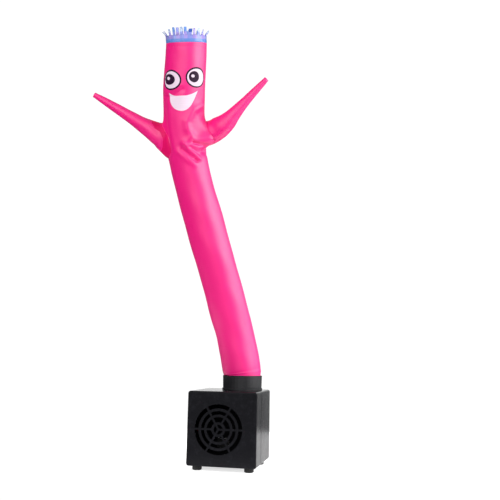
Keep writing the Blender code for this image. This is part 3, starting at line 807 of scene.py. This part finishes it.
print("sleeves: finding the armhole seams")
leftSleeve, leftSeam = makeSleeve("leftSleeve", "arm_left")
rightSleeve, rightSeam = makeSleeve("rightSleeve", "arm_right")


def underSleeve(point, sections):
    # how far a point of the tube lies inside a sleeve's outline
    best = -inf
    for middle, upwards, sideways, tall, deep in sections:
        away = point - middle
        if abs(away.dot(upwards.cross(sideways))) < tube["armholes"]["slice"]:
            share = hypot(away.dot(upwards) / tall, away.dot(sideways) / deep)
            best = max(best, (1.0 - share) * min(tall, deep))
    return best


def makeTube():
    levels = [tubeFoot]
    for start, end, step in tube["ringSteps"]:
        count = round((end - start) / step)
        levels += [start + (end - start) * (ring + 1) / count for ring in range(count)]
    around = tube["around"]
    turns = [360.0 * step / around - 180.0 for step in range(around)]
    armholes = tube["armholes"]
    lowest, highest = armholes["between"]
    seams = []  # the sleeves' seams and cross sections, to gather and cut the cloth there
    for name, seam in (("leftSleeve", leftSeam), ("rightSleeve", rightSeam)):
        tree = KDTree(len(seam))
        for number, point in enumerate(seam):
            tree.insert(point, number)
        tree.balance()
        seams.append((name, tree, [sleeveAxes(sleeves[name], half / 2) for half in range(9)]))
    points, places, inside = [], [], []
    for up in levels:
        middle, side, front, radius = tubeAxes(up)
        for turn, lift in zip(turns, foldHeight(up, turns)):
            way = outwards(side, front, turn)
            point = middle + way * (radius + float(lift))
            covered = False
            for name, tree, sections in seams if lowest < up < highest else ():
                number, distance = tree.find(point)[1:]
                if distance < armholes["look"]:
                    covered = covered or underSleeve(point, sections) > armholes["hidden"]
                if distance < armholes["gather"]:
                    gather = puckerAt(name, tau * number / sleeves["around"], distance)
                    dip = sleeves["seamDip"] * exp(-(distance / armholes["dipWide"]) ** 2)
                    point = point + way * (gather * armholes["gatherShare"] - dip)
            points.append(point)
            places.append(clothPlace(up, turn))
            inside.append(covered)
    faces = [quad for quad in gridFaces(len(levels), around, True)
            if not all(inside[corner] for corner in quad)]
    # the rim's hem turned in
    middle, side, front, radius = tubeAxes(levels[-1])
    downwards = side.cross(front)
    for drop, lift in tube["rimTurn"]:
        faces += gridFaces(2, around, True, len(points) - around)
        for turn in turns:
            way = outwards(side, front, turn)
            points.append(middle + way * (radius + lift) + downwards * drop)
            places.append(clothPlace(levels[-1] + drop, turn))
    piece = addMesh("tubeCloth", points, faces, [cloth["pinkWovenPolyester"]], places)
    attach(piece, "root")
    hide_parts("body_tube")
    return piece


tubeCloth = makeTube()
print("tube:", len(tubeCloth.data.polygons), "faces")

# Face, printed on the cloth: thin colour layers that follow the folds.
face = {
    "layer": 0.06,  # between one colour and the next
    "eyeGrid": (16, 72),  # rings, and points round each
    "eyeColours": ("whitePrintedPolyester", "darkPrintedPolyester"),  # even layers, odd layers
    "eyes": [  # name, up, round, half width and half height over the cloth, layer
        ("leftEyeLine", 417.0, -22.8, 11.9, 9.6, 1),
        ("leftEyeWhite", 417.0, -22.8, 10.3, 8.1, 2),
        ("leftPupil", 417.3, -28.8, 7.3, 5.1, 3),
        ("leftGlint", 418.1, -31.7, 2.2, 1.6, 4),
        ("rightEyeLine", 421.4, 50.3, 11.7, 9.5, 1),
        ("rightEyeWhite", 421.4, 50.3, 10.1, 8.0, 2),
        ("rightPupil", 422.0, 42.9, 5.7, 5.05, 3),
        ("rightGlint", 422.6, 39.0, 1.85, 1.35, 4),
    ],
    "mouthColour": "palePrintedPolyester",
    "mouthGrid": (90, 24),  # steps along and across
    "mouth": [  # round, lower lip, upper lip
        (-26.5, 404.9, 404.9), (-21.5, 397.7, 403.9), (-16.5, 392.9, 403.0), (-6.1, 389.3, 402.2),
        (10.2, 387.7, 402.7), (24.2, 388.9, 403.2), (36.7, 393.0, 404.7), (47.9, 400.4, 406.7),
        (57.4, 408.8, 408.8),
    ],
}


def printed(name, spots, faces, layer, colour):
    # a thin colour layer on the cloth, over heights and turns
    points = [tubePoint(*spot, face["layer"] * layer) for spot in spots]
    return addMesh(name, points, faces, [cloth[colour]], [clothPlace(*spot) for spot in spots])


def makeFace():
    made = []
    rings, around = face["eyeGrid"]
    for name, up, turn, wide, tall, layer in face["eyes"]:
        spots = []
        for ring in range(rings + 1):
            for angle in ringAngles(around):
                across = wide * cos(angle) * ring / rings
                high = tall * sin(angle) * ring / rings
                spots.append((up + high, turn + degrees(across / tube["foldRadius"])))
        made.append(printed(name, spots, gridFaces(rings + 1, around, True), layer,
                face["eyeColours"][layer % 2]))
    rows, (columns, across) = face["mouth"], face["mouthGrid"]
    spots = []
    for column in range(columns + 1):
        t = column / columns
        way = 0.5 - 0.5 * cos(pi * t)  # closer together at the corners
        turn, lower, upper = smoothBetween(rows, way * (len(rows) - 1))
        spots += [(lower + (max(upper, lower) - lower) * step / across, turn)
                for step in range(across + 1)]
    made.append(printed("mouth", spots, gridFaces(columns + 1, across + 1, False), 1,
            face["mouthColour"]))
    for piece in made:
        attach(piece, "root")
    return made


facePieces = makeFace()
print("face:", len(facePieces), "printed pieces")

# Hair: a band of film inside the rim, slit into strips.
hair = {
    "bandTall": 7.6,
    "blueTall": 3.2,  # the band's plain blue part
    "rootShare": 0.4,  # how much of a strip has the colour of its root
    "rootColours": ("lavenderFilm", "periwinkleFilm"),  # in turn
    "bandFoot": -4.0,  # below the rim, sewn inside the hem
    "bandRadius": 21.9,
    "bandInset": 0.75,  # how much further in its foot is
    "bandWaves": [(0.25, 9.0, 0.0), (0.15, 17.0, 40.0)],  # height, number round, start
    "bandGrid": (12, 156),  # steps up and round
    "thick": 0.12,
    "stripGrid": (14, 4),  # steps along and across
    "lap": 0.4,  # of a strip over its band
    "taper": 0.15,
    "curlShare": 0.6,
    "twist": (-10.0, 8.0),  # in turn
    "cup": 0.25,  # how hollow a strip's tip is
    "strips": [  # round, width, length, degrees outwards and sideways, curl, colour
        (-63.0, 2.6, 5.4, 46.0, -6.0, 25.0, "paleFilm"),
        (-50.0, 3.2, 5.8, 40.0, -8.0, 20.0, "periwinkleFilm"),
        (-31.5, 2.6, 6.4, 14.0, -8.0, 12.0, "paleFilm"),
        (-18.0, 3.6, 7.6, 5.0, -2.0, 8.0, "blueFilm"),
        (-7.0, 3.4, 7.2, 3.0, 0.0, -5.0, "periwinkleFilm"),
        (4.5, 3.8, 7.7, 2.0, 0.0, 5.0, "paleFilm"),
        (15.0, 3.4, 7.7, 3.0, 1.0, -4.0, "blueFilm"),
        (26.5, 4.6, 6.0, 6.0, 16.0, 20.0, "deepBlueFilm"),
        (40.0, 3.0, 6.4, 4.0, 0.0, 8.0, "lavenderFilm"),
        (54.0, 3.0, 6.6, 5.0, 3.0, 6.0, "paleFilm"),
        (69.0, 2.8, 5.8, 10.0, 2.0, 10.0, "periwinkleFilm"),
        (88.0, 2.2, 6.2, 42.0, 6.0, 12.0, "paleFilm"),
        (104.0, 3.0, 5.4, 34.0, 0.0, 20.0, "blueFilm"),
    ],
}


def makeHair():
    middle, side, front = tubeAxes(tubeRim)[:3]
    upwards = front.cross(side)
    strips = [(row[0] + half, *row[1:]) for half in (0.0, 180.0) for row in hair["strips"]]
    names = list(films)
    foot, top, radius = hair["bandFoot"], hair["bandTall"], hair["bandRadius"]
    points, places, slots = [], [], []

    # the band, in one ring of panels
    levels, around = hair["bandGrid"]
    for level in range(levels + 1):
        high = foot + (top - foot) * level / levels
        grow = max(high, 0.0) / top
        inset = hair["bandInset"] * (1.0 - min(max((high + 1.0) / 2.0, 0.0), 1.0))
        for step in range(around):
            turn = 360.0 * step / around
            reach = radius - inset + sum(tall * grow * sin(radians(turn * count + start))
                    for tall, count, start in hair["bandWaves"])
            points.append(middle + outwards(side, front, turn) * reach + upwards * high)
            places.append(onCloth(radians(turn), radius, high))
    faces = gridFaces(levels + 1, around, True)
    for number in range(len(faces)):
        level, step = divmod(number, around)
        aways = [abs((row[0] - 360.0 * step / around + 180.0) % 360.0 - 180.0) for row in strips]
        root = hair["rootColours"][aways.index(min(aways)) % 2]
        high = foot + (top - foot) * level / levels
        slots.append(names.index(root if high > hair["blueTall"] else "blueFilm"))

    steps, across = hair["stripGrid"]
    for number, (turn, wide, long, out, lean, curl, colour) in enumerate(strips):
        start = len(points)
        outWay, sideWay = outwards(side, front, turn), outwards(side, front, turn + 90.0)
        tip = (upwards + outWay * tan(radians(out)) + sideWay * tan(radians(lean))).normalized()
        place = middle + outWay * radius + upwards * (top - hair["lap"])
        for step in range(steps + 1):
            t = step / steps
            bend = upwards.lerp(tip, 0.5 + 0.5 * t).normalized()
            curled = outWay * sin(radians(curl)) * t * t * hair["curlShare"]
            bend = (bend + curled).normalized()
            if step:
                place = place + bend * (long + hair["lap"]) / steps
            half = wide / 2 * (1.0 - hair["taper"] * t)
            twist = radians(hair["twist"][number % 2] * t * (1 + number % 3))
            acrossWay = sideWay * cos(twist) + outWay * sin(twist)
            for column in range(across + 1):
                share = 2.0 * column / across - 1.0
                cup = (1.0 - share * share) * hair["cup"] * t
                points.append(place + acrossWay * (half * share) + outWay * cup)
                places.append((share * half * mm, t * long * mm, 0.0))
        stripFaces = gridFaces(steps + 1, across + 1, False, start)
        faces += stripFaces
        root, rootSteps = hair["rootColours"][number % 2], steps * hair["rootShare"]
        slots += [names.index(root if quad // across < rootSteps else colour)
                for quad in range(len(stripFaces))]
    piece = addMesh("hairFringe", points, faces, list(films.values()), places)
    for polygon, slotNumber in zip(piece.data.polygons, slots):
        polygon.material_index = slotNumber
    thicken = piece.modifiers.new("filmThickness", "SOLIDIFY")
    thicken.thickness = hair["thick"] * mm
    thicken.offset = 0.0
    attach(piece, "root")
    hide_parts("hair_fringe")
    return piece


hairFringe = makeHair()
print("hair:", 2 * len(hair["strips"]), "strips")

# Stitches: short threads along the two hems and up the back seam.
stitching = {
    "long": 1.9,
    "gap": 0.9,
    "thick": 0.32,
    "lift": 0.02,
    "stand": 0.28,  # how much of its thickness a thread stands off the cloth
    "grid": (6, 6),  # steps along a thread and round it
    "seamFrom": 105.0,  # heights
    "seamTo": 448.0,
    "seamPlaces": 230,
}


def clothPath(spots):
    # places on the cloth and the ways out of it, from heights and turns
    path = []
    for up, turn in spots:
        side, front = tubeAxes(up)[1:3]
        path.append((tubePoint(up, turn), outwards(side, front, turn)))
    return path


def stitchLine(path):
    # threads laid along a path over the cloth
    runs = [0.0]
    for (a, _), (b, _) in zip(path, path[1:]):
        runs.append(runs[-1] + (b - a).length)
    count = max(int(runs[-1] / (stitching["long"] + stitching["gap"])), 1)
    pitch = runs[-1] / count

    def at(run):
        run = min(max(run, 0.0), runs[-1])
        here = max(min(int(np.searchsorted(runs, run)) - 1, len(path) - 2), 0)
        share = (run - runs[here]) / max(runs[here + 1] - runs[here], 1e-9)
        (spotA, outA), (spotB, outB) = path[here], path[here + 1]
        return spotA.lerp(spotB, share), outA.lerp(outB, share).normalized()

    sections, around = stitching["grid"]
    thick, stand = stitching["thick"], stitching["stand"]
    points, faces = [], []
    for number in range(count):
        start = len(points)
        for section in range(sections + 1):
            t = section / sections
            run = number * pitch + stitching["long"] * t
            spot, out = at(run)
            ahead = (at(run + 0.05)[0] - at(run - 0.05)[0]).normalized()
            across = ahead.cross(out).normalized()
            swell = sin(pi * min(max(t, 0.06), 0.94)) ** 0.5  # thin at its two ends
            centre = spot + out * (stitching["lift"] + thick * stand * swell)
            points += [centre + across * cos(angle) * thick / 2 * swell
                    + out * sin(angle) * thick / 2 * swell for angle in ringAngles(around)]
        faces += gridFaces(sections + 1, around, True, start)
        faces.append(tuple(start + step for step in reversed(range(around))))
        faces.append(tuple(start + sections * around + step for step in range(around)))
    return points, faces


def makeStitches():
    turns = [2.0 * step for step in (*range(91), *range(-89, 1))]  # round from the front
    low, high, last = stitching["seamFrom"], stitching["seamTo"], stitching["seamPlaces"] - 1
    spots = {
        "hemStitches": [(hemGroove, turn) for turn in turns],
        "rimStitches": [(rimHem, turn) for turn in turns],
        "backSeamStitches": [(low + (high - low) * step / last, seamLeft)
                             for step in range(last + 1)],
    }
    made = []
    for name, line in spots.items():
        points, faces = stitchLine(clothPath(line))
        made.append(addMesh(name, points, faces, [sewingThread]))
    for piece in made:
        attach(piece, "root")
    return made


stitches = makeStitches()
print("stitches:", len(stitches), "lines")

# Base: the CAD shells, ring, inlet and feet, with their finishes.
baseFinishes = {
    "blackMouldedAbs": ("housing_front", "housing_back"),
    "blackRingAbs": ("collar",),
    "dullMouldedNylon": ("power_inlet",),
    "pressedRubber": ("foot_front_left", "foot_front_right", "foot_back_left", "foot_back_right"),
}
for finish, nodes in baseFinishes.items():
    material = moulded(finish)
    for node in nodes:
        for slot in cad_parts[node].material_slots:
            slot.material = material
print("base:", sum(len(nodes) for nodes in baseFinishes.values()), "nodes finished")
